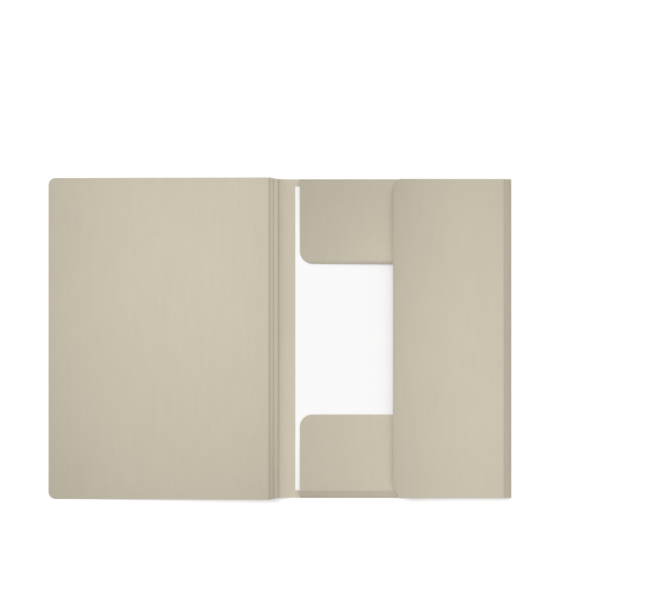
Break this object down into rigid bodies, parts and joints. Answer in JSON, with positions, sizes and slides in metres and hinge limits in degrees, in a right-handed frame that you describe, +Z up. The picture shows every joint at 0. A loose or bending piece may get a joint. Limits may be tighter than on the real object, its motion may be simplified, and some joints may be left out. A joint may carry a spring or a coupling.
{
  "type": "three flap folder",
  "caption": "Thin card folder lying open: hinged front cover and spine, top and bottom flaps folded over A4 sheets, and a side flap that opens on a gusset.",
  "frame": {"origin": "on the table, under the middle of the open folder's box", "axes": "+X from the open front cover towards the side flap's fold, +Y towards the top flap, +Z up from the table"},
  "size_m": [0.4534, 0.3146, 0.0068],
  "materials": {
    "card": "uncoated grey beige card",
    "paper": "uncoated white paper"
  },
  "bodies": {
    "back": {"back_panel_with_end_flaps": "card", "paper_sheets": "paper"},
    "spine": {"spine": "card"},
    "cover": {"front_cover": "card"},
    "gusset": {"side_gusset": "card"},
    "side_flap": {"side_flap": "card"}
  },
  "joints": [
    {"name": "spine_crease", "type": "hinge", "parent": "back", "child": "spine", "pos_m": [-0.00171, 0, 0.00322], "axis": [0, 1, 0], "range_deg": [0, 72]},
    {"name": "cover_crease", "type": "hinge", "parent": "spine", "child": "cover", "pos_m": [-0.01018, 0, 0.00597], "axis": [0, 1, 0], "range_deg": [0, 111]},
    {"name": "gusset_fold", "type": "hinge", "parent": "back", "child": "gusset", "pos_m": [0.22669, 0, 0.0007], "axis": [0, 1, 0], "range_deg": [0, 140]},
    {"name": "side_flap_crease", "type": "hinge", "parent": "gusset", "child": "side_flap", "pos_m": [0.21924, 0, 0.00412], "axis": [0, 1, 0], "range_deg": [0, 30]}
  ],
  "couplings": [
    {"joint": "spine_crease", "follows": "cover_crease", "ratio": 0.6486},
    {"joint": "gusset_fold", "follows": "side_flap_crease", "ratio": 4.6666}
  ]
}
